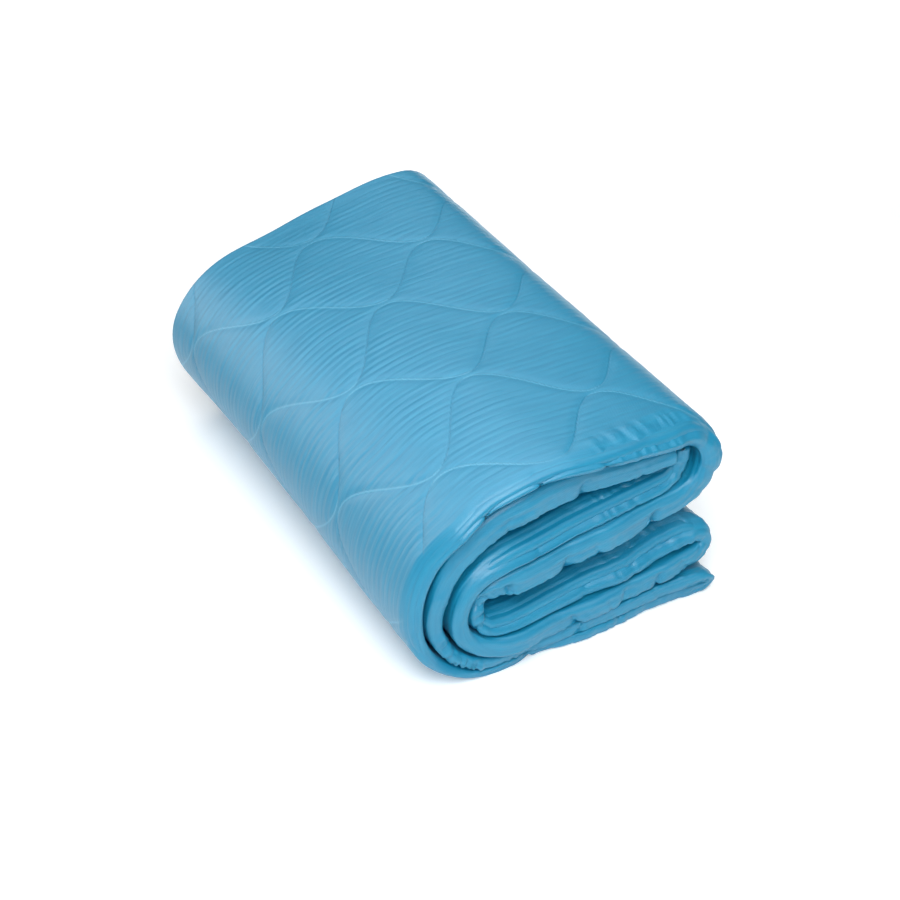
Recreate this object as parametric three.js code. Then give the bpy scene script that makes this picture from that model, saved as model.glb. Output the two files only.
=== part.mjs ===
// A quilted bedspread, folded in four lengthwise and then over and over into a stack of eight layers.
// Millimetres, +Z up. X runs across the stack, Y along its long folds, and the origin is under its middle.
// The near end (-Y) shows the rounded long fold of every layer.
import * as THREE from "three";

// Driving dimensions
const stackLength = 462; // a quarter of the cloth's 1800 mm width, with the layers not quite in line
const farSkew = 20; // how much shorter the stack is at its far left than at its far right
const farTuck = 17; // how far the foot of the left side comes in towards the far end
const tuckBy = 120; // Y from which on it has come in all the way
const leftFrom = 20; // X at which the skew and the tuck begin
const leftReach = 140; // from there to the left side
const tuckHeight = 120; // height above which the left side stays upright
const farSag = 0.135; // share of its height that the stack loses where it sags at the far end
const sagX = -31; // where the sag is deepest
const sagWidth = 72;
const farRise = 0.03; // share of its height that the right side gains at the far end
const riseFrom = 30; // X at which that rise begins
const riseReach = 90;
const foldDepth = 0.75; // how deep a near fold is rounded, as a share of its height over the lip

// Ogee quilting: wavy rows of stitching that run across the stack and meet their neighbours
const quilt = {
  waveLength: 150, // along the cloth's run
  pitch: 133, // between rows of the same phase, along Y
  swing: 31, // how far a row swings to each side, just under a quarter of the pitch
  junctionRun: -7, // where two rows meet, from the left end of the top layer
  slip: 14, // left of there the rows lie this much nearer
  junctionY: 49,
};

// Fineness of the mesh
const fineStep = 8.5; // on the quilted faces that show
const coarseStep = 60; // along the hidden layers
const coarseTurnSteps = 4; // in each quarter of a hidden turn
const coarseSpans = 4; // along Y on the hidden faces
const arcOverChord = 1.1; // a quarter of a turn is about this much longer than its chord
const noseAngles = [0, 30, 60]; // degrees round the long folds, from their tip towards the face
const hemShares = [0, 0.2, 0.6, 1]; // places of the rounded hem's sections, as shares of its radius

// The layers in the order of the cloth's run, each from its start to its end in the section across the stack.
// bow lifts its middle. thick is the depth of the four plies, puff the height of the quilting on the outer
// face, and near and far are how far the two long ends lie back from the ends of the stack. lip is the level
// at which the near fold comes furthest forward, towards the outer face, as a share of half the depth.
// overhang is how much further forward its middle comes.
const layers = [
  { name: "second", startX: 98, startZ: 148.5, endX: -4, endZ: 155.5, bow: -1,
    startThick: 14, endThick: 32, puff: 0, startNear: 13, endNear: 12, far: 6, lip: 0.85 },
  { name: "seventh", startX: -62, startZ: 13.5, endX: 124, endZ: 20, bow: -1,
    startThick: 9.5, endThick: 11.5, puff: 0, startNear: 6, endNear: 3, far: 3, lip: -0.8 },
  { name: "floor", startX: 127, startZ: 6, endX: -66, endZ: 4, bow: 0,
    startThick: 12, endThick: 8, puff: 0, startNear: 7, endNear: 7, far: 5, lip: 0.3 },
  { name: "top", startX: -4, startZ: 178.5, endX: 105, endZ: 166.5, bow: 1,
    startThick: 12, endThick: 22, puff: 2.5, startNear: 4.5, endNear: 9.5, far: 0, lip: -0.3, overhang: 8 },
  { name: "fourth", startX: 95, startZ: 102, endX: -40, endZ: 87, bow: 0,
    startThick: 22, endThick: 23, puff: 0, startNear: 9, endNear: 3, far: 4, lip: 0.9 },
  { name: "fifth", startX: -62, startZ: 46.5, endX: 112, endZ: 65, bow: -4,
    startThick: 16, endThick: 24, puff: 0, startNear: 4, endNear: 11, far: 7, lip: -0.85 },
  { name: "sixth", startX: 126, startZ: 40.5, endX: -54, endZ: 28, bow: -3.5,
    startThick: 15, endThick: 17, puff: 0, startNear: 8, endNear: 0, far: 2, lip: 0.85 },
  { name: "third", startX: -44, startZ: 110, endX: 92, endZ: 124, bow: 0,
    startThick: 17, endThick: 17, puff: 0, startNear: 7, endNear: 11, far: 5, lip: -0.9 },
  { name: "curled hem", startX: 110, startZ: 139, endX: 110, endZ: 149, bow: 0,
    startThick: 12, endThick: 12, puff: 0, startNear: 14, endNear: 15, far: 8, lip: 0 },
];

// The turn that follows each layer but the last, through its outermost point. The wraps lie nested at the
// left, and the folds at the right. The quilted ones show from outside and are meshed finely.
const turns = [
  { name: "second wrap", tipX: -116, tipZ: 70, thick: 14, puff: 0, near: 13, far: 4, lip: 0.75, fine: false },
  { name: "floor fold", tipX: 142, tipZ: 13, thick: 5, puff: 0, near: 4, far: 4, lip: 0, fine: false },
  { name: "outer wrap", tipX: -134, tipZ: 78, thick: 14.5, puff: 2, near: 10, far: 2, lip: -0.2, fine: true },
  { name: "top fold", tipX: 134, tipZ: 135, thick: 19, puff: 2, near: 8, far: 0, lip: -0.2, fine: true },
  { name: "inner turn", tipX: -81, tipZ: 63, thick: 12, puff: 0, near: 8, far: 12, lip: 0, fine: false },
  { name: "middle fold", tipX: 138, tipZ: 50, thick: 13, puff: 0, near: 11, far: 3, lip: -0.1, fine: false },
  { name: "third wrap", tipX: -97.5, tipZ: 62, thick: 15, puff: 0, near: 7, far: 5, lip: -0.5, fine: false },
  { name: "hem curl", tipX: 110, tipZ: 139, thick: 12, puff: 0, near: 14, far: 8, lip: 0, fine: false },
];

const mix = (from, to, share) => from + (to - from) * share;
const wrapTo = (value, period) => value - period * Math.floor(value / period);

// Sections along one layer, from its start to its end, both included
function layerSections(layer, fine) {
  const run = Math.hypot(layer.endX - layer.startX, layer.endZ - layer.startZ);
  const steps = Math.max(1, Math.round(run / (fine ? fineStep : coarseStep)));
  return Array.from({ length: steps + 1 }, (_, index) => {
    const share = index / steps;
    return {
      x: mix(layer.startX, layer.endX, share),
      z: mix(layer.startZ, layer.endZ, share) + 4 * layer.bow * share * (1 - share),
      thick: mix(layer.startThick, layer.endThick, share),
      puff: layer.puff,
      near: mix(layer.startNear, layer.endNear, share) - 4 * (layer.overhang ?? 0) * share * (1 - share),
      far: layer.far,
      lip: layer.lip,
      fine,
    };
  });
}

// Sections round one quarter of a turn, from the end of a layer to the tip: a quarter of an ellipse,
// without its first point
function quarterSections(edge, turn) {
  const chord = Math.hypot(turn.tipX - edge.x, turn.tipZ - edge.z);
  const fineSteps = Math.round((arcOverChord * chord) / fineStep);
  const steps = chord === 0 ? 0 : Math.max(coarseTurnSteps, turn.fine ? fineSteps : 0);
  return Array.from({ length: steps }, (_, index) => {
    const angle = (Math.PI / 2) * ((index + 1) / steps);
    const share = Math.sin(angle) ** 2;
    return {
      x: mix(edge.x, turn.tipX, Math.sin(angle)),
      z: mix(turn.tipZ, edge.z, Math.cos(angle)),
      thick: mix(edge.thick, turn.thick, share),
      puff: mix(edge.puff, turn.puff, share),
      near: mix(edge.near, turn.near, share),
      far: mix(edge.far, turn.far, share),
      lip: mix(edge.lip, turn.lip, share),
      fine: turn.fine,
    };
  });
}

// The whole run from hem to hem
function clothSections() {
  const sections = [];
  layers.forEach((layer, index) => {
    const fine = layer.puff > 0;
    const lying = layerSections(layer, fine);
    if (index > 0) {
      const turn = turns[index - 1];
      const inward = quarterSections(sections.at(-1), turn);
      const outward = quarterSections(lying[0], turn).reverse();
      sections.push(...inward.slice(0, -1), ...outward);
    }
    lying[0].startOf = layer.name;
    sections.push(...lying);
  });
  return sections;
}

// Rounded hems: extra sections close to both ends, in which the depth falls to nothing
function addHems(sections) {
  const first = hemSections(sections[0], sections[1]);
  const last = hemSections(sections.at(-1), sections.at(-2)).reverse();
  return [...first, ...sections.slice(1, -1), ...last];
}

function hemSections(end, inner) {
  const radius = end.thick / 2;
  const run = Math.hypot(inner.x - end.x, inner.z - end.z);
  return hemShares.map((share) => {
    const along = Math.min(1, (share * radius) / run);
    const rise = Math.sqrt(1 - (1 - share) ** 2);
    return {
      ...end,
      x: mix(end.x, inner.x, along),
      z: mix(end.z, inner.z, along),
      thick: end.thick * rise,
      near: end.near + radius * (1 - rise),
      far: end.far + radius * (1 - rise),
    };
  });
}

// Distance along the cloth and the outward direction of the face that shows, for each section
function addDirections(sections) {
  let run = 0;
  sections.forEach((section, index) => {
    const before = sections[Math.max(0, index - 1)];
    const after = sections[Math.min(sections.length - 1, index + 1)];
    const acrossX = after.x - before.x;
    const acrossZ = after.z - before.z;
    const length = Math.hypot(acrossX, acrossZ);
    run += Math.hypot(section.x - before.x, section.z - before.z);
    section.run = run;
    section.outX = -acrossZ / length;
    section.outZ = acrossX / length;
  });
}

// Height of the quilting at a place on the cloth, 0 on a row of stitching and 1 at the crown of a wide cell
function puffShare(run, y) {
  const swing = quilt.swing * Math.cos((2 * Math.PI * run) / quilt.waveLength);
  const slip = quilt.slip * THREE.MathUtils.smoothstep(-run, 0, quilt.waveLength / 2);
  const pastRow = wrapTo(y + slip - quilt.junctionY + quilt.pitch / 4 - swing, quilt.pitch);
  const firstCell = quilt.pitch / 2 - 2 * swing;
  const inFirst = pastRow < firstCell;
  const cell = inFirst ? firstCell : quilt.pitch - firstCell;
  const place = inFirst ? pastRow / cell : (pastRow - firstCell) / cell;
  return (1 - Math.abs(2 * place - 1) ** 3) * Math.sqrt(cell / quilt.pitch);
}

const leftShare = (x) => THREE.MathUtils.smoothstep(leftFrom - x, 0, leftReach);

// Moves a point of the straight stack to where it lies: towards the far end the stack sags, its left foot
// comes in and its right side rises
function settle(x, y, z) {
  const away = THREE.MathUtils.clamp(y / stackLength + 0.5, 0, 1) ** 2;
  const inward = THREE.MathUtils.smoothstep(y, -stackLength / 2, tuckBy);
  const sag = farSag * Math.exp(-(((x - sagX) / sagWidth) ** 2));
  const rise = farRise * THREE.MathUtils.smoothstep(x - riseFrom, 0, riseReach);
  const tuck = farTuck * inward * leftShare(x) * THREE.MathUtils.smoothstep(tuckHeight - z, 0, tuckHeight);
  return [x + tuck, y, z * (1 + away * (rise - sag))];
}

// Places along Y for one face of a section, from the lip of its near fold to the far tip, with their height
// off the middle. side is 1 for the outer face and -1 for the inner one. along tells where a place is in its
// row: 0 to 1 on the near fold, 1 to 2 on the face, 2 to 3 on the far fold.
function faceRow(section, spans, side) {
  const radius = section.thick / 2;
  const lipLift = side * section.lip * radius;
  const nearRise = radius - lipLift;
  const nearDepth = foldDepth * nearRise;
  const nearTip = section.near - stackLength / 2;
  const farTip = stackLength / 2 - section.far - farSkew * leftShare(section.x);
  const nose = radius > 0 ? noseAngles.map((degrees) => THREE.MathUtils.degToRad(degrees)) : [];
  const row = [];
  nose.forEach((angle) => {
    const lift = lipLift + nearRise * Math.sin(angle);
    row.push({ y: nearTip + nearDepth * (1 - Math.cos(angle)), lift, along: Math.sin(angle) });
  });
  for (let span = 0; span <= spans; span += 1) {
    const y = mix(nearTip + nearDepth, farTip - radius, span / spans);
    const inside = span > 0 && span < spans && side > 0;
    const puff = inside ? section.puff * puffShare(section.quiltRun, y) : 0;
    row.push({ y, lift: radius + puff, along: 1 + span / spans });
  }
  nose.toReversed().forEach((angle) => {
    const lift = radius * Math.sin(angle);
    row.push({ y: farTip - radius * (1 - Math.cos(angle)), lift, along: 3 - Math.sin(angle) });
  });
  return row;
}

// Triangles between two rows of points that may differ in number, both running along +Y
function stitchRows(before, after, flip, triangles) {
  let i = 0;
  let j = 0;
  while (i < before.length - 1 || j < after.length - 1) {
    const nextBefore = before[i + 1]?.along ?? Infinity;
    const nextAfter = after[j + 1]?.along ?? Infinity;
    const stepAfter = nextAfter <= nextBefore;
    const corner = stepAfter ? after[j + 1] : before[i + 1];
    const order = flip ? [before[i], corner, after[j]] : [before[i], after[j], corner];
    triangles.push(...order.map((place) => place.point));
    if (stepAfter) j += 1;
    else i += 1;
  }
}

// One closed skin: the outer and the inner face of each section share the tips of the long folds,
// and the two hems, where the depth is nothing, share their whole row
function clothGeometry() {
  const sections = addHems(clothSections());
  addDirections(sections);
  const quiltStart = sections.find((section) => section.startOf === "top").run + quilt.junctionRun;
  const fineSpans = Math.round((stackLength - 2 * fineStep) / fineStep);
  const points = [];
  const triangles = [];
  let previous = null;

  const addPoint = (section, place, side) => {
    const x = section.x + section.outX * side * place.lift;
    const z = section.z + section.outZ * side * place.lift;
    points.push(...settle(x, place.y, z));
    place.point = points.length / 3 - 1;
  };

  for (const section of sections) {
    section.quiltRun = section.run - quiltStart;
    const outer = faceRow(section, section.fine ? fineSpans : coarseSpans, 1);
    outer.forEach((place) => addPoint(section, place, 1));
    let inner = outer;
    if (section.thick > 0) {
      inner = faceRow(section, coarseSpans, -1);
      inner.slice(1, -1).forEach((place) => addPoint(section, place, -1));
      inner[0] = outer[0];
      inner[inner.length - 1] = outer.at(-1);
    }
    if (previous) {
      stitchRows(previous.outer, outer, false, triangles);
      stitchRows(previous.inner, inner, true, triangles);
    }
    previous = { outer, inner };
  }

  const geometry = new THREE.BufferGeometry();
  geometry.setAttribute("position", new THREE.Float32BufferAttribute(points, 3));
  geometry.setIndex(triangles);
  geometry.computeVertexNormals();
  return geometry;
}

const bedspread = new THREE.Group();
const clothFinish = new THREE.MeshStandardMaterial({ color: 0x4a9fc8, roughness: 0.5, metalness: 0 });
const cloth = new THREE.Mesh(clothGeometry(), clothFinish);
cloth.name = "quilted_cloth";
bedspread.add(cloth);

export default bedspread;
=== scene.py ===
import math

import bpy
import numpy as np
from mathutils import Euler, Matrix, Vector


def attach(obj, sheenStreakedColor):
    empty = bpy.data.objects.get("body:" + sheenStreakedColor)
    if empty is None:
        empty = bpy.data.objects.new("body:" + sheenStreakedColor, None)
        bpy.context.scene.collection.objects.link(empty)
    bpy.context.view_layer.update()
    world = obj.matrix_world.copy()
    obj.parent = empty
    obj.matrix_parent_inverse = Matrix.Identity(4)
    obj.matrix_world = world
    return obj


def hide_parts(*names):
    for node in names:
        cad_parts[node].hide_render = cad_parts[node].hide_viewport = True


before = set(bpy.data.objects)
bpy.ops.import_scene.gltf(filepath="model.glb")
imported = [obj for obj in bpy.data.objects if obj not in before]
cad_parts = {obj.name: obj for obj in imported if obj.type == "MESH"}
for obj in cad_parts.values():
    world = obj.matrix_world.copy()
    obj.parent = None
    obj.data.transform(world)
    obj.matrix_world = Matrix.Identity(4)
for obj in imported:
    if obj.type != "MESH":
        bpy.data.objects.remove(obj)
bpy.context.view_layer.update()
print("frame loaded:", sorted(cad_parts))

mm = 0.001  # sizes are in millimetres until a mesh is made


def hexColor(code):  # sRGB hex to the linear values that sockets take
    parts = [int(code[i:i + 2], 16) / 255 for i in (1, 3, 5)]
    linear = [p / 12.92 if p <= 0.04045 else ((p + 0.055) / 1.055) ** 2.4 for p in parts]
    return (*linear, 1)


def addNode(tree, kind, inputs=None, **settings):  # an input is a value, a node or a node's output
    node = tree.nodes.new(kind)
    for name, value in settings.items():
        setattr(node, name, value)
    for socket, value in (inputs or {}).items():
        if isinstance(value, bpy.types.Node):
            value = value.outputs[0]
        if isinstance(value, bpy.types.NodeSocket):
            tree.links.new(value, node.inputs[socket])
        else:
            node.inputs[socket].default_value = value
    return node


def mix(start, end, share):
    return start + (end - start) * share


def smoothStep(value, low, high):
    share = np.clip((value - low) / (high - low), 0, 1)
    return share * share * (3 - 2 * share)


def drift(along, across, seed):  # smooth unevenness from -1 to 1, one hump or hollow to a unit
    size = 64  # units before it repeats
    table = np.random.default_rng(seed).uniform(-1, 1, (size, size))
    along, across = np.broadcast_arrays(along, across)
    i, j = np.floor(along).astype(int), np.floor(across).astype(int)
    u, v = smoothStep(along - i, 0, 1), smoothStep(across - j, 0, 1)
    i, j, nextI, nextJ = i % size, j % size, (i + 1) % size, (j + 1) % size
    low = mix(table[i, j], table[nextI, j], u)
    high = mix(table[i, nextJ], table[nextI, nextJ], u)
    return mix(low, high, v)


def driftOver(along, across, size, seed):  # the same, with humps of a size along and across
    return drift(along / size[0], across / size[1], seed)


def waver(along, size, seed):  # the same along a line, of a height and a spacing
    height, spacing = size
    return height * drift(along / spacing, 0.5, seed)


# The folded stack in its section across the long folds. The cloth runs hem, second layer, seventh, floor,
# top, fourth, fifth, sixth, third, hem. Each layer is four plies deep. Near and far are how far its two
# long ends lie back from the ends of the stack, and overhang is how much further forward the middle of its
# near fold comes. Lip is the level at which that fold comes furthest forward, as a share of half the depth,
# towards the face of the cloth. Slope tells how the fold rises from the lip: from 0, with a flat front and
# a tight round, to 1, in an even slope, and beyond, in a longer one.
stack = {
    "length": 462,
    "farSkew": 20,  # the far left is this much shorter
    "farTuck": 17,  # and its foot comes in
    "tuckBy": 120,  # as far as it does from here on
    "leftFrom": 20,
    "leftReach": 140,
    "tuckHeight": 120,
    "farSag": 0.135,  # share of its height that the stack loses there
    "sagX": -31,
    "sagWidth": 72,
    "farRise": 0.03,  # and that its right side gains
    "riseFrom": 30,
    "riseReach": 90,
    "smoothing": 5,  # rounds the course where a layer meets a turn
    "layers": [
        dict(name="second", start=(98, 148.5), end=(-4, 155.5), bow=-1, thick=(14, 30), near=(13, 12),
             far=6, lip=0.85, slope=0.35),
        dict(name="seventh", start=(-62, 13.5), end=(124, 20), bow=-1, thick=(9.5, 11.5), near=(6, 3),
             far=3, lip=-0.8, slope=0.1),
        dict(name="floor", start=(127, 6), end=(-66, 4), bow=0, thick=(12, 8), near=(7, 7),
             far=5, lip=0.3, slope=0),
        dict(name="top", start=(-4, 178.5), end=(105, 166.5), bow=1, thick=(12, 22), near=(4.5, 9.5),
             far=0, lip=-0.3, slope=2.2, overhang=8),
        dict(name="fourth", start=(95, 102), end=(-40, 87), bow=0, thick=(22, 23), near=(9, 3),
             far=4, lip=0.9, slope=0.2),
        dict(name="fifth", start=(-62, 46.5), end=(112, 65), bow=-4, thick=(16, 24), near=(4, 11),
             far=7, lip=-0.85, slope=0.9),
        dict(name="sixth", start=(126, 40.5), end=(-54, 28), bow=-3.5, thick=(15, 17), near=(8, 0),
             far=2, lip=0.85, slope=0.1),
        dict(name="third", start=(-44, 110), end=(92, 124), bow=0, thick=(17, 17), near=(7, 11),
             far=5, lip=-0.9, slope=0.9),
        dict(name="curled hem", start=(110, 139), end=(110, 149), bow=0, thick=(12, 12), near=(14, 15),
             far=8, lip=0, slope=0),
    ],
    "turns": [  # the turn after each layer but the last, through its outermost point
        dict(name="second wrap", tip=(-116.5, 70), thick=12.5, near=13, far=4, lip=0.75, slope=0.25),
        dict(name="floor fold", tip=(142, 13), thick=5, near=4, far=4, lip=0, slope=0.3),
        dict(name="outer wrap", tip=(-134.6, 78), thick=13.3, near=10, far=2, lip=-0.2, slope=2),
        dict(name="top fold", tip=(134, 135), thick=19, near=8, far=0, lip=-0.2, slope=0.4),
        dict(name="inner turn", tip=(-82, 63), thick=14, near=8, far=12, lip=0, slope=0.3),
        dict(name="middle fold", tip=(138, 50), thick=13, near=11, far=3, lip=-0.1, slope=0.4),
        dict(name="third wrap", tip=(-97.5, 62), thick=13.4, near=7, far=5, lip=-0.5, slope=0.25),
        dict(name="hem curl", tip=(110, 139), thick=12, near=14, far=8, lip=0, slope=0),
    ],
}

cloth = {
    "flatSize": (1.8, 2.15),  # metres, as it was cut: about four times the strip's width by its run
    "plyGap": 0.9,
    # near folds; a drift is the height and the spacing of something's unevenness
    "kinkSpacing": 34,  # they run in short straight stretches
    "kink": 3,
    "nearDrift": (0.6, 15),
    "foldDepth": (0.65, 1.5),  # how deep a tight fold and a sloping one are, as shares of their height
    "foldFront": 0.72,  # share of a tight fold's height that is flat
    "slopeStart": 64,  # degrees into its round at which a sloping fold starts, so that its lip is sharp
    "lipFade": 0.25,  # where the lip is this far from the middle, only the side away from it slopes
    "arcLength": (1.11, 1.02),  # how much longer a tight round and a sloping one are than straight lines
    # creases and crinkles
    "pinchDrop": 3,  # how much steeper a pinch falls off than it rises
    "pinchDrift": (1.5, 9),
    "gatherFade": (6, 8),  # they start this far outside the ends of a gather and are whole this far inside
    "crinkleLean": (0.3, -0.2),  # of the large ones and of the fine ones
    "crinkleHeight": (2, 0.3),
    "crinkleSink": 0.8,  # the large ones are soft humps, and the sharp creases between them lie this low
    "fineCrinkles": (1.8, 1.2),  # how many more of the fine ones there are, along the run and across it
    # far ends and hems
    "farDrift": (2, 50),
    "hemBack": 1.5,  # the outer long hem is this far back from the far tip
    "hemDrift": (1.5, 60),
    "innerHemBack": 3,  # and the inner one this far behind it
    "innerHemDrift": (1.5, 70),
    "hemShares": (0, 0.2, 0.6, 1),  # places of the rounded cross hem's sections
    "hemThin": 0.1,  # share of its depth that a ply keeps there
    # ribs and the points that model them
    "ribCount": 63,  # woven ribs, 7.3 mm apart, that run along the strip
    "ribHeight": 0.3,
    "ribPlaces": (0, 0.19, 0.5, 0.81),  # points across one rib, its groove first
    "nearRibs": (5, 3),  # ribs with close points at the near end, on the face and on the back
    "coarsePoints": (5, 4),  # points over the rest of a side that doesn't show
    "step": 2,  # along the run at the near end
    "shownEvery": 2,  # every second section is whole where the face shows
    "hiddenEvery": 8,  # and every eighth elsewhere
    "shown": [("floor fold", "floor fold"), ("outer wrap", "top fold"), ("middle fold", "middle fold")],
    # ogee quilting: wavy rows of stitching that meet their neighbours
    "waveLength": 150,
    "rowPitch": 133,
    "rowSwing": 31,
    "junctionRun": -7,  # where two rows meet, from the start of the top layer
    "junctionY": 49,
    "quiltSlip": 14,  # left of there the rows lie this much nearer
    "crown": 0.45,  # how far the wadding lifts the face between rows
    "rowSoftness": 5,
    "groove": 0.5,  # the narrow furrow that a row draws in
    "grooveWidth": 2.2,
    "rowFade": (8, 26),  # from the lip, the rows start at the first of these and are whole at the second
    "ribGap": (0.5, 4),  # and so do the ribs, from a row
    # how the face differs where it is free to rise, and elsewhere
    "freeFade": (70, 40),  # over these it is freed, at the left foot, and pressed, under the right fold
    "pressedCrown": 0.3,
    "pressedStitches": 0.2,
    "pressedRibs": 2.2,  # ribs stand higher where the wadding is pressed flat
    "boldRibs": ((-10, 60), (130, 210)),  # down the left they double over the first and then shrink
    "faintRibs": (150, 230),  # and below there they fade
    "faintShare": 0.5,  # by this much
    "ribShare": (0.75, 0.5),  # each has this share of its height, with this much more or less
    "ribPatch": (60, 7),  # over lengths and widths like these
    # the lie of the face
    "hemFade": (14, 10),  # its relief ends over these at the long hems and at the cross ones
    "swell": (60, 55),  # length and width of its soft humps
    "ripple": (24, 30),  # and of smaller ones
    "rippleShare": 0.5,
    "swellHeight": 0.45,
    "streak": (50, 3),  # and of the drawn streaks at its lip
    "streakFade": (4, 26),  # which end between these
    "streakHeight": 0.8,
    "sink": 0.6,  # it lies this much inside its layer, and rises from there
}

# Creases drawn in across the long folds at the near end, placed along the named layer or turn. Each falls
# off sharply to one side and rises slowly on the other, which is ahead along the run where ahead is 1.
pinches = [
    dict(on="outer wrap", share=0.74, depth=4.5, width=7, reach=9, lean=0, ahead=1),
    dict(on="outer wrap", share=0.91, depth=3.5, width=7, reach=9, lean=0, ahead=1),
    dict(on="top", share=0.28, depth=3, width=7, reach=8, lean=0, ahead=1),
    dict(on="second", share=0.84, depth=4.5, width=7, reach=26, lean=0.25, ahead=-1),
    dict(on="second", share=0.3, depth=1.2, width=6, reach=18, lean=-0.2, ahead=1),
    dict(on="second wrap", share=0.22, depth=2, width=6, reach=20, lean=0.3, ahead=1),
    dict(on="fourth", share=0.75, depth=3.4, width=5, reach=16, lean=0.4, ahead=-1),
    dict(on="fourth", share=0.5, depth=2.4, width=4, reach=18, lean=-0.3, ahead=1),
    dict(on="fourth", share=0.12, depth=6, width=6, reach=26, lean=0.5, ahead=1),
    dict(on="third", share=0.1, depth=1.5, width=5, reach=18, lean=0.3, ahead=1),
    dict(on="third", share=0.8, depth=2, width=4, reach=20, lean=-0.4, ahead=-1),
    dict(on="fifth", share=0.45, depth=1.4, width=5, reach=20, lean=0.2, ahead=1),
    dict(on="fifth", share=0.72, depth=1.5, width=5, reach=24, lean=0.1, ahead=-1),
    dict(on="sixth", share=0.65, depth=4, width=5, reach=20, lean=-0.6, ahead=1),
    dict(on="sixth", share=0.42, depth=3, width=4, reach=20, lean=0.6, ahead=-1),
    dict(on="sixth", share=0.22, depth=3.4, width=4, reach=20, lean=0.4, ahead=1),
    dict(on="sixth", share=0.06, depth=2.4, width=5, reach=20, lean=-0.3, ahead=1),
    dict(on="seventh", share=0.4, depth=3, width=4, reach=18, lean=0.4, ahead=-1),
    dict(on="floor", share=0.83, depth=3.4, width=4, reach=18, lean=-0.3, ahead=1),
    dict(on="floor", share=0.4, depth=1.2, width=5, reach=16, lean=0.2, ahead=1),
    dict(on="inner turn", share=0.2, depth=6, width=7, reach=22, lean=0.5, ahead=1),
    dict(on="inner turn", share=0.5, depth=7, width=8, reach=24, lean=-0.4, ahead=-1),
    dict(on="inner turn", share=0.8, depth=5, width=7, reach=20, lean=0.3, ahead=1),
    dict(on="top fold", share=0.55, depth=2.4, width=7, reach=30, lean=0.3, ahead=1),
    dict(on="top fold", share=0.75, depth=2.2, width=7, reach=26, lean=-0.3, ahead=-1),
]

# Crinkles between them, from share to share of the named layer or turn. Out is how far over the face of
# the cloth they reach, from its lip, and a place below zero is on its back. Size is theirs along the run
# and across it.
gathers = [
    dict(on="top", shares=(0.2, 1), out=(-6, 30), height=0.9, size=(5, 26)),
    dict(on="top fold", shares=(0, 1), out=(-8, 30), height=0.5, size=(7, 24)),
    dict(on="second", shares=(0, 1), out=(-20, 12), height=0.4, size=(6, 12)),
    dict(on="second wrap", shares=(0, 0.6), out=(-16, 12), height=0.5, size=(6, 14)),
    dict(on="second wrap", shares=(0.72, 0.96), out=(-10, 8), height=2, size=(3.5, 14)),
    dict(on="third wrap", shares=(0, 1), out=(-10, 20), height=0.3, size=(10, 24)),
    dict(on="third", shares=(0.5, 1), out=(-6, 30), height=0.8, size=(6, 22)),
    dict(on="fourth", shares=(0, 1), out=(-20, 10), height=0.5, size=(7, 12)),
    dict(on="inner turn", shares=(0.1, 0.9), out=(-24, 30), height=1.6, size=(10, 20)),
    dict(on="fifth", shares=(0.6, 1), out=(-4, 36), height=0.8, size=(6, 24)),
    dict(on="middle fold", shares=(0, 1), out=(-8, 28), height=0.9, size=(6, 18)),
    dict(on="sixth", shares=(0, 1), out=(-18, 10), height=0.6, size=(7, 12)),
    dict(on="seventh", shares=(0, 1), out=(-8, 18), height=0.6, size=(6, 12)),
    dict(on="floor fold", shares=(0, 1), out=(-10, 22), height=0.7, size=(5, 12)),
    dict(on="floor", shares=(0, 1), out=(-16, 8), height=0.6, size=(6, 10)),
    dict(on="hem curl", shares=(0, 1), out=(-14, 14), height=1.4, size=(5, 12)),
]


def layerCourse(layer):
    (startX, startZ), (endX, endZ) = layer["start"], layer["end"]
    share = np.linspace(0, 1, 2 + int(math.hypot(endX - startX, endZ - startZ)))
    return {
        "x": mix(startX, endX, share),
        "z": mix(startZ, endZ, share) + 4 * layer["bow"] * share * (1 - share),
        "thick": mix(*layer["thick"], share),
        "near": mix(*layer["near"], share) - 4 * layer.get("overhang", 0) * share * (1 - share),
        "far": np.full(len(share), float(layer["far"])),
        "lip": np.full(len(share), float(layer["lip"])),
        "slope": np.full(len(share), float(layer["slope"])),
    }


def quarterCourse(layer, end, turn):  # a quarter of an ellipse, from one end of a layer to the turn's tip
    edge = {key: values[end] for key, values in layer.items()}
    tipX, tipZ = turn["tip"]
    chord = math.hypot(tipX - edge["x"], tipZ - edge["z"])
    angle = np.linspace(0, math.pi / 2, 2 + int(chord))[1:]
    blended = ("thick", "near", "far", "lip", "slope")
    quarter = {key: mix(edge[key], turn[key], np.sin(angle) ** 2) for key in blended}
    quarter["x"] = mix(edge["x"], tipX, np.sin(angle))
    quarter["z"] = mix(tipZ, edge["z"], np.cos(angle))
    return quarter


def smoothed(values, width):
    reach = int(3 * width)
    kernel = np.exp(-0.5 * (np.arange(-reach, reach + 1) / width) ** 2)
    padded = np.pad(values, reach, mode="reflect", reflect_type="odd")
    return np.convolve(padded, kernel / kernel.sum(), "valid")


def runAlong(x, z):
    return np.concatenate([[0], np.cumsum(np.hypot(np.diff(x), np.diff(z)))])


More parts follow.
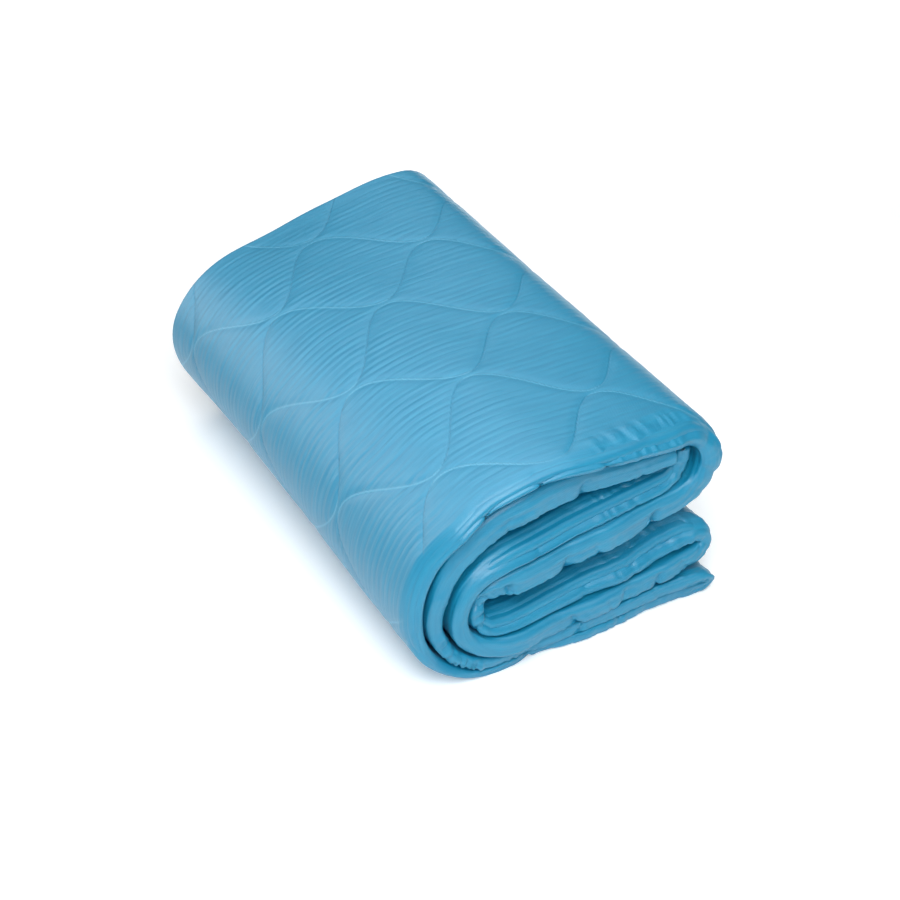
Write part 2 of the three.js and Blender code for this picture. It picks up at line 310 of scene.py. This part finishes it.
def clothCourse():  # the whole run from hem to hem, a point to each millimetre
    lying = [layerCourse(layer) for layer in stack["layers"]]
    pieces = []
    for i, layer in enumerate(stack["layers"]):
        if i:
            turn = stack["turns"][i - 1]
            inward = quarterCourse(lying[i - 1], -1, turn)
            outward = quarterCourse(lying[i], 0, turn)
            bend = {key: np.concatenate([inward[key], outward[key][::-1][1:]]) for key in inward}
            pieces.append((turn["name"], bend))
        pieces.append((layer["name"], lying[i]))
    course = {key: np.concatenate([piece[key] for _, piece in pieces]) for key in lying[0]}
    run = runAlong(course["x"], course["z"])
    counts = np.cumsum([0] + [len(piece["x"]) for _, piece in pieces])
    places = {name: (run[counts[i]], run[counts[i + 1] - 1]) for i, (name, _) in enumerate(pieces)}
    even = np.arange(0, run[-1])
    course = {key: smoothed(np.interp(even, run, values), stack["smoothing"])
              for key, values in course.items()}
    straight = runAlong(course["x"], course["z"])
    course["run"] = straight
    course["places"] = {name: np.interp(ends, even, straight) for name, ends in places.items()}
    course["quiltStart"] = course["places"]["top"][0] + cloth["junctionRun"]
    course["outX"] = -np.gradient(course["z"], straight)
    course["outZ"] = np.gradient(course["x"], straight)
    return course


def placeOn(course, name, share):
    start, end = course["places"][name]
    return mix(start, end, share)


def sectionRuns(course):  # where sections are taken, which of them show their face and which are whole
    total = course["run"][-1]
    hem = np.array(cloth["hemShares"]) * course["thick"][0] / 8  # half a ply long
    count = round(total / cloth["step"])
    inner = np.arange(1, count) * total / count
    shown = np.zeros(count - 1, bool)
    for first, last in cloth["shown"]:
        shown |= (inner > course["places"][first][0]) & (inner < course["places"][last][1])
    every = np.where(shown, cloth["shownEvery"], cloth["hiddenEvery"])
    whole = np.arange(count - 1) % every == 0
    ends = np.zeros(len(hem), bool)
    runs = np.concatenate([hem, inner, total - hem[::-1]])
    return runs, np.concatenate([ends, shown, ends]), np.concatenate([~ends, whole, ~ends])


def sectionTable(course):
    runs, shown, whole = sectionRuns(course)
    keys = ("x", "z", "thick", "near", "far", "lip", "slope", "outX", "outZ")
    table = {key: np.interp(runs, course["run"], course[key])[:, None] for key in keys}
    length = np.hypot(table["outX"], table["outZ"])
    table["outX"] /= length
    table["outZ"] /= length
    table["run"], table["shown"], table["whole"] = runs[:, None], shown[:, None], whole[:, None]
    run = table["run"]
    knots = np.arange(0, course["run"][-1] + cloth["kinkSpacing"], cloth["kinkSpacing"])
    kinks = np.random.default_rng(3).uniform(-1, 1, len(knots)) * cloth["kink"]
    table["near"] = table["near"] + np.interp(run, knots, kinks) + waver(run, cloth["nearDrift"], 13)
    table["far"] = table["far"] + waver(run, cloth["farDrift"], 4)
    radius = table["thick"] / 2
    ply = (table["thick"] - 3 * cloth["plyGap"]) / 4
    toHem = np.minimum(run, course["run"][-1] - run)
    rise = np.sqrt(1 - (1 - np.clip(2 * toHem / ply, 0, 1)) ** 2)
    table["half"] = ply / 2 * np.maximum(rise, cloth["hemThin"])  # half a ply, thinning to the cross hems
    table["outer"] = radius - ply / 2  # middle of the outer pair of plies, from the middle of the layer
    table["inner"] = (cloth["plyGap"] + ply) / 2
    left = smoothStep(stack["leftFrom"] - table["x"], 0, stack["leftReach"])
    table["nearTip"] = table["near"] - stack["length"] / 2
    farTip = stack["length"] / 2 - table["far"] - stack["farSkew"] * left
    table["farY"] = farTip - (table["outer"] - table["inner"]) / 2 - ply / 2  # centre of the far fold
    table["hemY"] = farTip - ply / 2 - cloth["hemBack"] + waver(run, cloth["hemDrift"], 5)
    table["innerHemY"] = table["hemY"] - cloth["innerHemBack"] - waver(run, cloth["innerHemDrift"], 6)
    return table


def sideShares(face):  # places from the near tip to the far end of a side, as shares of its width
    count = cloth["ribCount"]
    whole = (np.arange(count)[:, None] + np.array(cloth["ribPlaces"])).ravel() / count
    close = cloth["nearRibs"][0 if face else 1] * len(cloth["ribPlaces"]) + 1
    coarse = np.linspace(whole[close - 1], 1, cloth["coarsePoints"][0 if face else 1] + 1)[1:]
    return {"near": whole[:close], "shown": np.append(whole[close:], 1), "hidden": coarse}


def sideStrip(table, face, shares):  # a side of the layer, from the lip of its near fold to its far end
    radius = table["outer"] + table["half"]
    facing = 1 if face else -1
    lipLevel = table["lip"] * radius
    above = np.clip(-facing * table["lip"] / cloth["lipFade"], 0, 1)  # the lip lies towards the other side
    slope = table["slope"] * above
    even = np.minimum(slope, 1)
    front = cloth["foldFront"] * (above - even) * (radius - facing * lipLevel)
    rise = radius - facing * lipLevel - front
    depth = mix(*cloth["foldDepth"], slope) * rise
    first = math.radians(cloth["slopeStart"]) * even
    arc = np.hypot(rise, depth) * mix(*cloth["arcLength"], even)  # nearly that of the part of an ellipse
    flat = table["hemY" if face else "farY"] - table["nearTip"] - depth
    width = front + arc + flat
    reach = shares[None, :] * width
    past = np.clip((reach - front) / arc, 0, 1)
    angle = mix(first, math.pi / 2, past)
    outY = -rise * np.cos(angle) / (1 - np.sin(first))
    outLevel = facing * depth * np.sin(angle) / np.cos(first)
    over = (np.sin(angle) - np.sin(first)) / (1 - np.sin(first))
    length = np.hypot(outY, outLevel)
    overFlat = np.maximum(reach - front - arc, 0)
    still = np.zeros_like(reach)
    return {
        "y": table["nearTip"] + depth * (1 - np.cos(angle) / np.cos(first)) + overFlat,
        "level": lipLevel + facing * (np.minimum(reach, front) + rise * over),
        "outY": outY / length,
        "outLevel": outLevel / length,
        "reach": reach,
        "width": width + still,
        "clothY": table["nearTip"] + depth - front - arc + facing * reach,
        "side": facing + still,
    }


def insideStrip(table, y, level, outY, outLevel):  # points of the plies inside, which lie smooth
    still = np.zeros_like(y)
    return {
        "y": y,
        "level": level + still,
        "outY": outY + still,
        "outLevel": outLevel + still,
        "reach": y - table["nearTip"],
        "width": stack["length"] + still,
        "clothY": y,
        "side": still,
    }


def flatStrip(table, start, end, level, facing):  # two points inside a straight stretch of a ply
    return insideStrip(table, mix(start, end, np.linspace(0, 1, 4)[None, 1:-1]), level, 0, facing)


def bendStrip(table, centreY, centreLevel, radius, degrees, count, hollow=False):  # round a fold or hem
    angle = np.radians(np.linspace(*degrees, count))[None, :]
    side = -1 if hollow else 1
    return insideStrip(table, centreY + radius * np.cos(angle), centreLevel + radius * np.sin(angle),
                       side * np.cos(angle), side * np.sin(angle))


def joined(strips):
    return {key: np.concatenate([strip[key] for strip in strips], 1) for key in strips[0]}


def nearStrip(table):  # the near fold and a little of both sides, from the face to the back
    face = sideStrip(table, True, sideShares(True)["near"][::-1])
    back = sideStrip(table, False, sideShares(False)["near"][1:])
    return joined([face, back])


def restStrip(table, reached):
    # The rest of the closed outline of the cloth in the section along Y, from the back of the packet round
    # the plies inside to the face. Plies one and four are joined by the outer near fold, four and three by
    # the far fold, three and two by the inner near fold.
    outer, inner, half = table["outer"], table["inner"], table["half"]
    farY, hemY, innerHemY = table["farY"], table["hemY"], table["innerHemY"]
    nearY = table["nearTip"] + outer + half
    farLevel = -(outer + inner) / 2
    farRadius = (outer - inner) / 2
    return joined([
        sideStrip(table, False, sideShares(False)["hidden"]),
        bendStrip(table, farY, farLevel, farRadius + half, (-64, 90), 7),
        flatStrip(table, farY, nearY, -(inner - half), 1),
        bendStrip(table, nearY, 0, inner - half, (270, 90), 3, True),
        flatStrip(table, nearY, innerHemY, inner - half, -1),
        bendStrip(table, innerHemY, inner, half, (-90, 90), 5),
        flatStrip(table, innerHemY, nearY, inner + half, 1),
        bendStrip(table, nearY, 0, inner + half, (90, 270), 5),
        flatStrip(table, nearY, farY, -(inner + half), -1),
        bendStrip(table, farY, farLevel, farRadius - half, (90, -90), 3, True),
        flatStrip(table, farY, nearY, -(outer - half), 1),
        bendStrip(table, nearY, 0, outer - half, (270, 90), 6, True),
        flatStrip(table, nearY, hemY, outer - half, -1),
        bendStrip(table, hemY, outer, half, (-90, 54), 4),
        sideStrip(table, True, sideShares(True)[reached][::-1]),
    ])


def quiltRows(run, y):  # distances to the nearest row of each phase, with a sign that alternates
    turn = 2 * math.pi / cloth["waveLength"]
    swing = cloth["rowSwing"] * np.cos(turn * run)
    lean = np.hypot(1, cloth["rowSwing"] * turn * np.sin(turn * run))
    quarter = cloth["rowPitch"] / 4
    spread = cloth["rowPitch"] / math.pi
    return [spread * np.sin((y - cloth["junctionY"] - centre) / spread) / lean
            for centre in (swing - quarter, quarter - swing)]


def creaseHeight(course, run, reach, side):  # creases and crinkles of the near end
    out = reach * side
    height = 0 * reach
    for i, pinch in enumerate(pinches):
        at = placeOn(course, pinch["on"], pinch["share"]) + pinch["lean"] * out
        off = pinch["ahead"] * (run - at + waver(reach, cloth["pinchDrift"], 60 + i)) / pinch["width"]
        trough = np.exp(-np.maximum(off, -cloth["pinchDrop"] * off))
        height = height - pinch["depth"] * trough * np.exp(-(reach / pinch["reach"]) ** 2)

    before, within = cloth["gatherFade"]
    lean, fineLean = cloth["crinkleLean"]
    rise, fineRise = cloth["crinkleHeight"]
    moreAlong, moreAcross = cloth["fineCrinkles"]
    for i, row in enumerate(gathers):
        start, end = (placeOn(course, row["on"], share) for share in row["shares"])
        close = np.flatnonzero((run[:, 0] > start - before) & (run[:, 0] < end + before))
        at, over = run[close], out[close]
        low, high = row["out"]
        along, across = row["size"]
        life = smoothStep(at, start - before, start + within)
        life = life * smoothStep(-at, -end - before, within - end)
        life = life * np.exp(-((2 * over - low - high) / (high - low)) ** 4)
        humps = np.abs(drift((at + lean * over) / along, over / across, 100 + i))
        fine = drift((at + fineLean * over) / along * moreAlong, over / across * moreAcross, 140 + i)
        height[close] += row["height"] * life * (rise * humps - cloth["crinkleSink"] + fineRise * fine)
    return height


def clothRelief(course, table, strip):  # how far the cloth rises, and what its material takes from there
    run, reach, side, clothY = table["run"], strip["reach"], strip["side"], strip["clothY"]
    pitch = strip["width"] / cloth["ribCount"]
    place = reach / pitch
    close = np.where(side > 0, *cloth["nearRibs"]) * pitch
    atEdge = 1 - smoothStep(reach, close - 2 * pitch, close - pitch)
    share = np.where((side > 0) & table["shown"], 1.0, atEdge)
    share = np.where(side == 0, 0, share)
    flatRibs = 1 - share
    toHem = np.minimum(run, course["run"][-1] - run)
    longFade, crossFade = cloth["hemFade"]
    share = share * smoothStep(strip["width"] - reach, 0, longFade) * smoothStep(toHem, 0, crossFade)

    quiltRun = run - course["quiltStart"]
    slip = cloth["quiltSlip"] * smoothStep(-quiltRun, 0, cloth["waveLength"] / 2)
    first, second = quiltRows(quiltRun, clothY + slip)
    sewn = smoothStep(reach, *cloth["rowFade"])
    toRow = np.minimum(np.abs(first), np.abs(second))
    shownStart, shownEnd = course["places"]["outer wrap"][0], course["places"]["top fold"][1]
    startFade, endFade = cloth["freeFade"]
    free = smoothStep(run, shownStart, shownStart + startFade) * smoothStep(shownEnd - run, 0, endFade)
    free = free * (side > 0)

    past = course["places"]["top"][0] - run  # down the left side
    growth, shrinking = cloth["boldRibs"]
    bold = smoothStep(past, *growth) * (1 - smoothStep(past, *shrinking))
    faint = cloth["faintShare"] * smoothStep(past, *cloth["faintRibs"])
    usual, swing = cloth["ribShare"]
    ribLife = mix(cloth["pressedRibs"], 1 + bold - faint, free)
    ribLife = ribLife * (usual + swing * driftOver(run, reach, cloth["ribPatch"], 11))
    ribs = cloth["ribHeight"] * np.abs(np.sin(math.pi * place)) * ribLife
    lift = mix(cloth["pressedCrown"], 1, free)
    height = ribs * (1 - sewn * (1 - smoothStep(toRow, *cloth["ribGap"])))
    height = height + lift * cloth["crown"] * (1 - sewn * np.exp(-toRow / cloth["rowSoftness"]))
    height = height - lift * cloth["groove"] * sewn * np.exp(-(toRow / cloth["grooveWidth"]) ** 2)
    height = height + creaseHeight(course, run, reach, side)

    soft = driftOver(run, clothY, cloth["swell"], 8)
    soft = soft + cloth["rippleShare"] * driftOver(run, clothY, cloth["ripple"], 9)
    streaks = driftOver(run, reach, cloth["streak"], 10) * (1 - smoothStep(reach, *cloth["streakFade"]))
    height = height - cloth["sink"] + cloth["swellHeight"] * soft + cloth["streakHeight"] * streaks
    stitching = mix(cloth["pressedStitches"], 1, free) * sewn
    where = np.stack([run + 0 * place, place, flatRibs], 2)
    return share * height, where, np.stack([first, second, stitching], 2)


def settle(x, y, z):  # towards its far end the stack sags, its left foot comes in and its right side rises
    away = np.clip(y / stack["length"] + 0.5, 0, 1) ** 2
    sag = stack["farSag"] * np.exp(-((x - stack["sagX"]) / stack["sagWidth"]) ** 2)
    rise = stack["farRise"] * smoothStep(x - stack["riseFrom"], 0, stack["riseReach"])
    left = smoothStep(stack["leftFrom"] - x, 0, stack["leftReach"])
    inward = smoothStep(y, -stack["length"] / 2, stack["tuckBy"])
    tuck = stack["farTuck"] * inward * left * smoothStep(stack["tuckHeight"] - z, 0, stack["tuckHeight"])
    return np.stack([x + tuck, y, np.maximum(z * (1 + away * (rise - sag)), 0)], 2)


def zipFaces(before, after):  # triangles between two open rows of different counts
    beforeAt, afterAt = np.linspace(0, 1, len(before)), np.linspace(0, 1, len(after))
    faces = []
    i = j = 0
    while i < len(before) - 1 or j < len(after) - 1:
        nextBefore = beforeAt[i + 1] if i < len(before) - 1 else math.inf
        nextAfter = afterAt[j + 1] if j < len(after) - 1 else math.inf
        if nextAfter <= nextBefore:
            faces.append((before[i], after[j + 1], after[j]))
            j += 1
        else:
            faces.append((before[i], before[i + 1], after[j]))
            i += 1
    return faces


def rowFaces(before, after):  # quads between two open rows with as many points
    return np.stack([before[:-1], before[1:], after[1:], after[:-1]], 1).tolist()


def hemFaces(near, rest, starts):  # closes the strip's own hem, between the face and the back of the cloth
    faceCount = len(sideShares(True)["hidden"])
    ring = np.concatenate([rest[-faceCount:], near, rest[:-faceCount]])
    insideCount = 16  # points from the far fold to the middle of the inner long hem
    middle = faceCount + len(near) + len(sideShares(False)["hidden"]) + insideCount
    face = ring[:middle + 1]
    back = np.append(ring[middle:], ring[0])[::-1]
    faces = zipFaces(back, face) if starts else zipFaces(face, back)
    return [corners for corners in faces if len(set(corners)) == 3]  # the two rows share their ends


def clothMesh(course):
    table = sectionTable(course)
    shown, whole = table["shown"].ravel(), table["whole"].ravel()
    groups = [("near", np.ones(len(shown), bool)), ("shown", whole & shown), ("hidden", whole & ~shown)]
    points, attributes, near, rest, used = [], [], {}, {}, 0
    for kind, chosen in groups:
        part = {key: values[chosen] for key, values in table.items()}
        strip = nearStrip(part) if kind == "near" else restStrip(part, kind)
        height, place, stitches = clothRelief(course, part, strip)
        level = strip["level"] + height * strip["outLevel"]
        placed = settle(part["x"] + part["outX"] * level, strip["y"] + height * strip["outY"],
                        part["z"] + part["outZ"] * level)
        points.append(placed.reshape(-1, 3))
        attributes.append(np.concatenate([place, stitches], 2).reshape(-1, 6))
        numbers = used + np.arange(placed[:, :, 0].size).reshape(placed.shape[:2])
        used += numbers.size
        rows = near if kind == "near" else rest
        rows.update(zip(np.flatnonzero(chosen), numbers))

    faces = hemFaces(near[0], rest[0], True) + hemFaces(near[len(near) - 1], rest[len(near) - 1], False)
    for i in range(len(near) - 1):
        faces += rowFaces(near[i], near[i + 1])
    wholeRows = sorted(rest)
    for i, j in zip(wholeRows, wholeRows[1:]):
        before, after = rest[i], rest[j]
        between = range(i + 1, j)
        backSeam = [near[k][-1] for k in reversed(between)]
        faceSeam = [near[k][0] for k in between]
        faces.append([near[i][-1], before[0], after[0], near[j][-1]] + backSeam)
        faces.append([before[-1], near[i][0]] + faceSeam + [near[j][0], after[-1]])
        if len(before) == len(after):
            faces += rowFaces(before, after)
        else:
            inside = len(before) - len(sideShares(True)["shown" if shown[i] else "hidden"])
            faces += rowFaces(before[:inside + 1], after[:inside + 1])
            faces += zipFaces(before[inside:], after[inside:])
    return np.concatenate(points), np.concatenate(attributes), faces


def makeCloth(course):
    points, attributes, faces = clothMesh(course)
    mesh = bpy.data.meshes.new("quilted_cloth_sheet")
    mesh.from_pydata((points * mm).tolist(), [], faces)
    for name, values in (("place", attributes[:, :3]), ("stitches", attributes[:, 3:])):
        layer = mesh.attributes.new(name, "FLOAT_VECTOR", "POINT")
        layer.data.foreach_set("vector", values.astype(np.float32).ravel())
    mesh.shade_smooth()
    sheet = bpy.data.objects.new("quilted_cloth_sheet", mesh)
    bpy.context.collection.objects.link(sheet)
    triangles = sum(len(face) - 2 for face in faces)
    print("cloth:", len(mesh.vertices), "points,", triangles, "triangles")
    return sheet


# Ribbed polyester satin, woven in ribs, padded and machine quilted: a deep colour under a soft, pale sheen
satin = {
    "color": "#0a7fa5",
    "sheenStreakColor": "#1487ac",  # painted sheen: lighter streaks along the ribs
    # painted shade: the quilting furrows are coloured darker
    "furrowShadeColor": "#0a7399",
    "paintedHighlightColor": "#50a6c7",  # painted highlight along the rows that lean one way
    "roughness": 0.41,
    "ior": 1.5,
    "specular": 0.6,
    "sheen": 0.03,
    "sheenRoughness": 0.4,
    "sheenColor": "#e3f1f8",
    "ribRelief": 0.42,  # mm, where the ribs aren't modelled
    "streakLength": 90,  # mm along the run, as the pattern takes a rib across
    "streaksToRib": 2.4,
    "streakDetail": 3.0,
    "streakRange": (0.35, 0.65),  # between these values of the pattern the painted sheen streaks come in
    "streakRelief": 0.4,
    "thread": 1.7,  # mm; a real thread of 0.3 mm wouldn't show, so it is drawn as coarse as this
    "threadRelief": 0.04,
    "stitchWidth": 1.5,
    "stitchDepth": 0.38,
    "stitchLength": 3.6,
    "stitchRise": (0.2, 0.7),  # mm from a stitch's end, between which its thread comes up
    "stitchRelief": 0.18,
    "furrowShadeShare": 0.4,  # share of the painted shade in a row's furrow
    "paintedHighlightShare": 0.7,  # and of the painted highlight's
    "paintedHighlightLean": 0.5,  # the painted highlight lies along rows that lean one way, and fades by this lean the other way
}


def satinMaterial(quiltStart):
    material = bpy.data.materials.new("ribbed_polyester_satin")
    material.use_nodes = True
    tree = material.node_tree
    shader = tree.nodes["Principled BSDF"]
    place = addNode(tree, "ShaderNodeAttribute", attribute_name="place")
    stitches = addNode(tree, "ShaderNodeAttribute", attribute_name="stitches")
    run, ribCount, flatRibs = addNode(tree, "ShaderNodeSeparateXYZ", {0: place.outputs["Vector"]}).outputs
    rows = addNode(tree, "ShaderNodeSeparateXYZ", {0: stitches.outputs["Vector"]}).outputs

    # profile of one rib, from 0 in its groove to 1 on its crown
    inRib = addNode(tree, "ShaderNodeMath", {0: ribCount, 1: 2 * math.pi}, operation="MULTIPLY")
    ribWave = addNode(tree, "ShaderNodeMath", {0: inRib}, operation="COSINE")
    rib = addNode(tree, "ShaderNodeMath", {0: ribWave, 1: -0.5, 2: 0.5}, operation="MULTIPLY_ADD")

    # streaks that follow the ribs, long along the run and half a rib wide: painted sheen in the colour, and
    # real relief in the bump
    streakRun = addNode(tree, "ShaderNodeMath", {0: run, 1: 1 / satin["streakLength"]},
                        operation="MULTIPLY")
    streakPlace = addNode(tree, "ShaderNodeCombineXYZ", {0: streakRun, 1: ribCount})
    streaks = addNode(tree, "ShaderNodeTexNoise", {"Vector": streakPlace, "Scale": satin["streaksToRib"],
                                                   "Detail": satin["streakDetail"]})
    low, high = satin["streakRange"]
    streakShare = addNode(tree, "ShaderNodeMapRange", {0: streaks, 1: low, 2: high})
    sheenStreakedColor = addNode(tree, "ShaderNodeMix", {0: streakShare, 6: hexColor(satin["color"]),
                                           7: hexColor(satin["sheenStreakColor"])}, data_type="RGBA")

    # rows of stitching: a thin furrow, with the thread's small stitches in it, and masks for the painted
    # shade in the furrows and a painted highlight along the rows that lean one way
    wave = 2 * math.pi / cloth["waveLength"]
    swingRun = addNode(tree, "ShaderNodeMath", {0: run, 1: wave, 2: -wave * quiltStart},
                       operation="MULTIPLY_ADD")
    swing = addNode(tree, "ShaderNodeMath", {0: swingRun}, operation="SINE")
    lines, highlitLines = [], []
    for row, way in ((rows[0], 1), (rows[1], -1)):
        off = addNode(tree, "ShaderNodeMath", {0: row}, operation="ABSOLUTE")
        line = addNode(tree, "ShaderNodeMapRange",
                       {0: off, 1: 0.0, 2: satin["stitchWidth"], 3: 1.0, 4: 0.0},
                       interpolation_type="SMOOTHSTEP")
        lines.append(addNode(tree, "ShaderNodeMath", {0: line, 1: rows[2]}, operation="MULTIPLY"))
        lean = addNode(tree, "ShaderNodeMapRange",
                       {0: swing, 1: -satin["paintedHighlightLean"] * way, 2: 0.0, 3: 0.0, 4: 1.0},
                       interpolation_type="SMOOTHSTEP")
        highlitLines.append(addNode(tree, "ShaderNodeMath", {0: lines[-1], 1: lean}, operation="MULTIPLY"))
    line = addNode(tree, "ShaderNodeMath", {0: lines[0], 1: lines[1]}, operation="MAXIMUM")
    highlitLine = addNode(tree, "ShaderNodeMath", {0: highlitLines[0], 1: highlitLines[1]}, operation="MAXIMUM")
    stitchRun = addNode(tree, "ShaderNodeMath", {0: run, 1: satin["stitchLength"] / 2},
                        operation="PINGPONG")
    low, high = satin["stitchRise"]
    stitch = addNode(tree, "ShaderNodeMapRange", {0: stitchRun, 1: low, 2: high},
                     interpolation_type="SMOOTHSTEP")
    thread = addNode(tree, "ShaderNodeMath", {0: line, 1: stitch}, operation="MULTIPLY")
    # painted shade darkens the furrows, and a painted highlight lightens the rows that lean one way
    color = sheenStreakedColor
    for part, most, shade in ((line, satin["furrowShadeShare"], satin["furrowShadeColor"]),
                              (highlitLine, satin["paintedHighlightShare"], satin["paintedHighlightColor"])):
        share = addNode(tree, "ShaderNodeMath", {0: part, 1: most}, operation="MULTIPLY")
        color = addNode(tree, "ShaderNodeMix", {0: share, 6: color.outputs[2], 7: hexColor(shade)},
                        data_type="RGBA")
    drawn = addNode(tree, "ShaderNodeMath", {0: line, 1: highlitLine}, operation="SUBTRACT")

    # fine weave, streaks and, where they aren't modelled, the ribs
    turn = 2 * math.pi / satin["thread"]
    ribPitch = stack["length"] / cloth["ribCount"]
    warp = addNode(tree, "ShaderNodeMath", {0: run, 1: turn}, operation="MULTIPLY")
    weft = addNode(tree, "ShaderNodeMath", {0: ribCount, 1: turn * ribPitch}, operation="MULTIPLY")
    warpWave = addNode(tree, "ShaderNodeMath", {0: warp}, operation="SINE")
    weftWave = addNode(tree, "ShaderNodeMath", {0: weft}, operation="SINE")
    weave = addNode(tree, "ShaderNodeMath", {0: warpWave, 1: weftWave}, operation="MULTIPLY")
    relief = addNode(tree, "ShaderNodeMath", {0: weave, 1: satin["threadRelief"]}, operation="MULTIPLY")
    ribRelief = addNode(tree, "ShaderNodeMath", {0: rib, 1: satin["ribRelief"]}, operation="MULTIPLY")
    raised = [(streaks, satin["streakRelief"]), (ribRelief, flatRibs), (drawn, -satin["stitchDepth"]),
              (thread, satin["stitchRelief"])]
    for part, height in raised:
        relief = addNode(tree, "ShaderNodeMath", {0: part, 1: height, 2: relief}, operation="MULTIPLY_ADD")
    bump = addNode(tree, "ShaderNodeBump", {"Height": relief, "Distance": mm, "Strength": 1.0})

    tree.links.new(color.outputs[2], shader.inputs["Base Color"])
    tree.links.new(bump.outputs[0], shader.inputs["Normal"])
    shader.inputs["Roughness"].default_value = satin["roughness"]
    shader.inputs["IOR"].default_value = satin["ior"]
    shader.inputs["Specular IOR Level"].default_value = satin["specular"]
    shader.inputs["Sheen Weight"].default_value = satin["sheen"]
    shader.inputs["Sheen Roughness"].default_value = satin["sheenRoughness"]
    shader.inputs["Sheen Tint"].default_value = hexColor(satin["sheenColor"])
    return material


course = clothCourse()
sheet = makeCloth(course)
sheet.data.materials.append(satinMaterial(course["quiltStart"]))
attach(sheet, "root")
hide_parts("quilted_cloth")

# Pale floor, soft light and the photograph's view
studio = {
    "floorSize": 12,
    "floorColor": "#fbfcfc",
    "floorRoughness": 0.9,
    "tentColor": "#f6f9fb",
    "floorGlow": 0.2,  # keeps the ground pale where the lights fall off
    "tentStrength": 0.24,
    "lights": [  # in metres and watts; the panels show in the cloth's sheen alone
        dict(name="overheadLight", place=(-0.2, 0.1, 2.0), aim=(-0.2, 0.1, 0), size=(1.8, 1.8),
             power=15.5, diffuse=True),
        dict(name="frontLight", place=(-0.6, -1.2, 1.6), aim=(0, 0, 0.1), size=(1.2, 1.2),
             power=36, diffuse=True),
        dict(name="topPanel", place=(-0.05, 0.6, 1.3), aim=(0, 0, 0.18), size=(1.95, 1.3),
             power=18, diffuse=False),
        dict(name="leftPanel", place=(-1.05, 1.15, 0.7), aim=(0, 0, 0.1), size=(1.1, 1.2),
             power=14.5, diffuse=False),
        dict(name="lipPanel", place=(0, -0.62, 1.35), aim=(0, -0.1, 0.15), size=(2.2, 0.8),
             power=9, diffuse=False),
        dict(name="groundLight", place=(0.5, 1.2, 1.6), aim=(2, 4, 0), size=(2, 1),
             power=150, diffuse=True),
    ],
    "aim": (-0.009, -0.057, 0.09),
    "azimuth": -31.05,
    "elevation": 36.24,
    "distance": 1.764,
    "roll": 0.9,
    "lens": 85.87,
}


def makeFloor():
    bpy.ops.object.select_all(action="DESELECT")
    bpy.ops.mesh.primitive_plane_add(size=studio["floorSize"])
    floor = bpy.context.object
    floor.name = "studio_floor"
    material = bpy.data.materials.new("matt_painted_board")  # smooth and matt, so only soft shade shows
    material.use_nodes = True
    shader = material.node_tree.nodes["Principled BSDF"]
    shader.inputs["Base Color"].default_value = hexColor(studio["floorColor"])
    shader.inputs["Roughness"].default_value = studio["floorRoughness"]
    shader.inputs["Emission Color"].default_value = hexColor(studio["floorColor"])
    shader.inputs["Emission Strength"].default_value = studio["floorGlow"]
    floor.data.materials.append(material)


def aimed(place, aim):
    return (Vector(aim) - Vector(place)).to_track_quat("-Z", "Y").to_euler()


def makeLights():
    world = bpy.data.worlds.new("studio")
    world.use_nodes = True
    background = world.node_tree.nodes["Background"]
    background.inputs["Color"].default_value = hexColor(studio["tentColor"])
    background.inputs["Strength"].default_value = studio["tentStrength"]
    bpy.context.scene.world = world
    for light in studio["lights"]:
        turn = aimed(light["place"], light["aim"])
        bpy.ops.object.light_add(type="AREA", location=light["place"], rotation=turn)
        lamp = bpy.context.object
        lamp.name = light["name"]
        lamp.data.shape = "RECTANGLE"
        lamp.data.size, lamp.data.size_y = light["size"]
        lamp.data.energy = light["power"]
        lamp.visible_diffuse = light["diffuse"]
        lamp.visible_camera = False


def makeCamera():
    azimuth, elevation = math.radians(studio["azimuth"]), math.radians(studio["elevation"])
    back = Vector((math.sin(azimuth) * math.cos(elevation), -math.cos(azimuth) * math.cos(elevation),
                   math.sin(elevation)))
    place = Vector(studio["aim"]) + studio["distance"] * back
    bpy.ops.object.camera_add(location=place)
    camera = bpy.context.object
    roll = Euler((0, 0, math.radians(studio["roll"])))
    turn = aimed(place, studio["aim"]).to_quaternion() @ roll.to_quaternion()
    camera.rotation_euler = turn.to_euler()
    camera.data.lens = studio["lens"]
    bpy.context.scene.camera = camera


makeFloor()
makeLights()
makeCamera()
bpy.context.scene.view_settings.view_transform = "Standard"
print("studio set")
